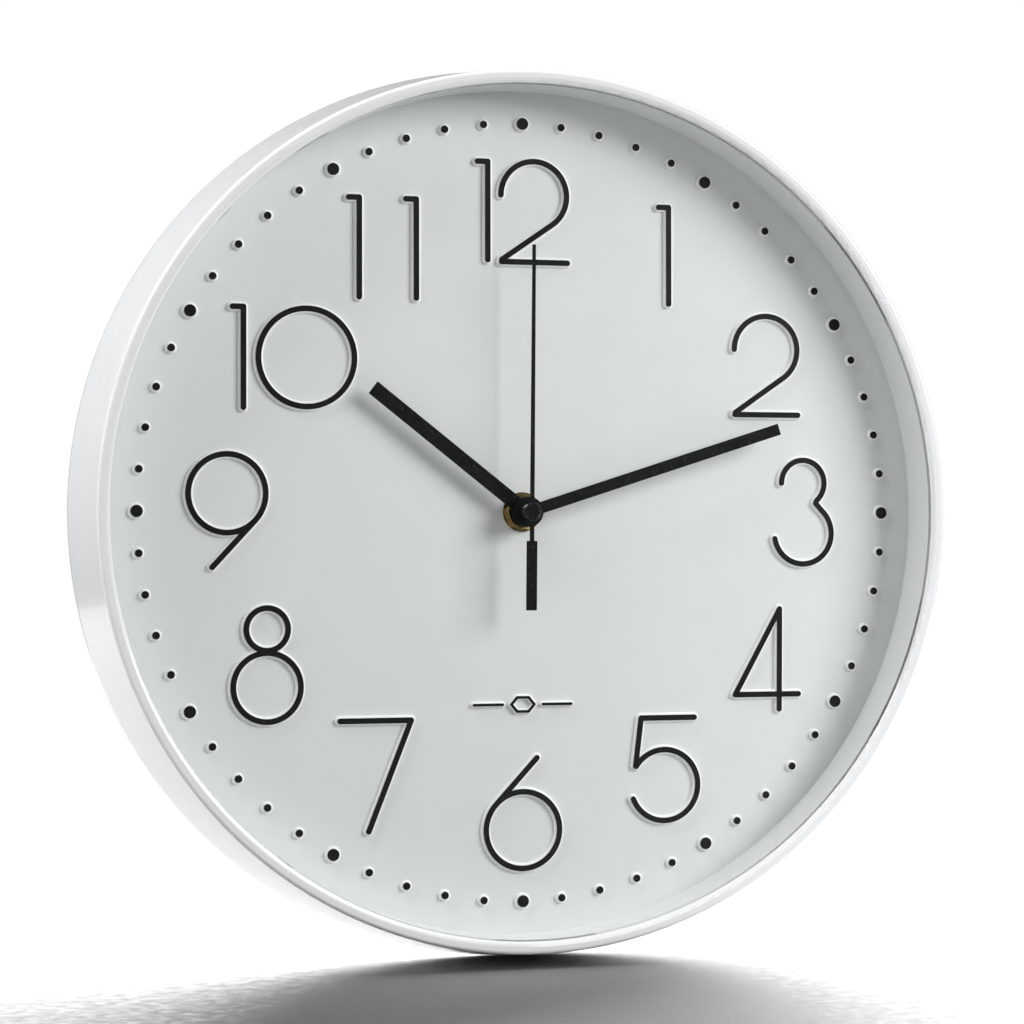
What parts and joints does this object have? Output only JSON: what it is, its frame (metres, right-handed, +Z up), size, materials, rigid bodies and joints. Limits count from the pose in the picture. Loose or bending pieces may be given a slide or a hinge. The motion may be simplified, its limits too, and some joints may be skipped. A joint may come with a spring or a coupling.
{
  "type": "wall clock",
  "caption": "Round white battery wall clock with raised black numerals, minute dots, three black hands and a keyhole in its back.",
  "frame": {"origin": "where the hands' axis meets the wall, at the centre of the clock's back plane", "axes": "+Z up towards 12 o'clock, +X towards 3 o'clock, -Y out of the dial, +Y into the wall"},
  "size_m": [0.2996, 0.04, 0.2996],
  "materials": {
    "white_gloss_plastic": "glossy white moulded plastic",
    "white_matt_plastic": "fine matt white moulded plastic",
    "clear_lens": "clear flat lens",
    "dial_white": "satin cool white moulded plastic",
    "mark_black": "black hot-stamped foil",
    "hand_black": "satin black painted aluminium",
    "hub_black": "semi-gloss black painted brass",
    "brass": "bare turned brass",
    "rubber_black": "soft black rubber",
    "movement_black": "fine-textured black moulded plastic",
    "magnet_grey": "sintered magnet",
    "gear_nylon": "natural white nylon",
    "knob_red": "red moulded plastic",
    "iron": "soft iron strip",
    "bobbin_white": "white moulded plastic",
    "copper_wire": "enamelled copper winding",
    "board_green": "green solder-masked board",
    "zinc_steel": "zinc-plated steel",
    "resin_black": "black potting resin",
    "battery_jacket": "plain printed steel jacket"
  },
  "bodies": {
    "case": {"case_ring": "white_gloss_plastic", "spacer_ring": "white_gloss_plastic", "back_cover": "white_matt_plastic", "dial_support": "white_matt_plastic", "lens": "clear_lens", "dial_plate": "dial_white", "back_cover_screws": "zinc_steel", "dial_motif": "mark_black", "hour_dots": "mark_black", "minute_dots": "mark_black", "threaded_bushing": "brass", "hex_nut": "brass", "nut_washer": "brass", "rubber_washer": "rubber_black", "movement_front_housing": "movement_black", "movement_rear_housing": "movement_black", "stator": "iron", "coil_core": "iron", "coil_bobbin": "bobbin_white", "coil_winding": "copper_wire", "circuit_board": "board_green", "quartz_crystal": "zinc_steel", "chip_blob": "resin_black", "battery_cell": "battery_jacket", "battery_positive_contact": "zinc_steel", "battery_negative_contact": "zinc_steel", "numeral_1": "mark_black", "numeral_2": "mark_black", "numeral_3": "mark_black", "numeral_4": "mark_black", "numeral_5": "mark_black", "numeral_6": "mark_black", "numeral_7": "mark_black", "numeral_8": "mark_black", "numeral_9": "mark_black", "numeral_10": "mark_black", "numeral_11": "mark_black", "numeral_12": "mark_black"},
    "seconds": {"second_wheel": "gear_nylon", "second_hand": "hand_black", "second_hand_cap": "hub_black"},
    "rotor": {"rotor_magnet": "magnet_grey", "rotor_pinion": "gear_nylon"},
    "step": {"step_wheel": "gear_nylon"},
    "third": {"third_wheel": "gear_nylon"},
    "centre": {"centre_wheel": "gear_nylon", "clutch_spring": "brass"},
    "minutes": {"cannon_pinion": "gear_nylon", "minute_hand": "hand_black", "minute_hand_hub": "hub_black"},
    "motion_work": {"minute_wheel": "gear_nylon", "setting_knob": "knob_red"},
    "hours": {"hour_wheel": "gear_nylon", "hour_hand": "hand_black", "hour_hand_hub": "hub_black"}
  },
  "joints": [
    {"name": "second_hand_turn", "type": "hinge", "parent": "case", "child": "seconds", "pos_m": [0, 0, 0], "axis": [0, 1, 0], "continuous": true},
    {"name": "step_wheel_turn", "type": "hinge", "parent": "case", "child": "step", "pos_m": [-0.00308, 0, 0.00846], "axis": [0, 1, 0], "continuous": true},
    {"name": "rotor_turn", "type": "hinge", "parent": "case", "child": "rotor", "pos_m": [0.00073, 0, 0.01433], "axis": [0, 1, 0], "continuous": true},
    {"name": "third_wheel_turn", "type": "hinge", "parent": "case", "child": "third", "pos_m": [0.0092, 0, 0], "axis": [0, 1, 0], "continuous": true},
    {"name": "centre_wheel_turn", "type": "hinge", "parent": "case", "child": "centre", "pos_m": [0, 0, 0], "axis": [0, 1, 0], "continuous": true},
    {"name": "minute_hand_turn", "type": "hinge", "parent": "case", "child": "minutes", "pos_m": [0, 0, 0], "axis": [0, 1, 0], "continuous": true},
    {"name": "setting_knob_turn", "type": "hinge", "parent": "case", "child": "motion_work", "pos_m": [-0.00993, 0, 0.00175], "axis": [0, 1, 0], "continuous": true},
    {"name": "hour_hand_turn", "type": "hinge", "parent": "case", "child": "hours", "pos_m": [0, 0, 0], "axis": [0, 1, 0], "continuous": true}
  ],
  "couplings": [
    {"joint": "step_wheel_turn", "follows": "second_hand_turn", "ratio": -5},
    {"joint": "rotor_turn", "follows": "second_hand_turn", "ratio": 30},
    {"joint": "third_wheel_turn", "follows": "second_hand_turn", "ratio": -0.13333},
    {"joint": "centre_wheel_turn", "follows": "second_hand_turn", "ratio": 0.016667},
    {"joint": "setting_knob_turn", "follows": "minute_hand_turn", "ratio": -0.33333},
    {"joint": "hour_hand_turn", "follows": "minute_hand_turn", "ratio": 0.083333}
  ]
}
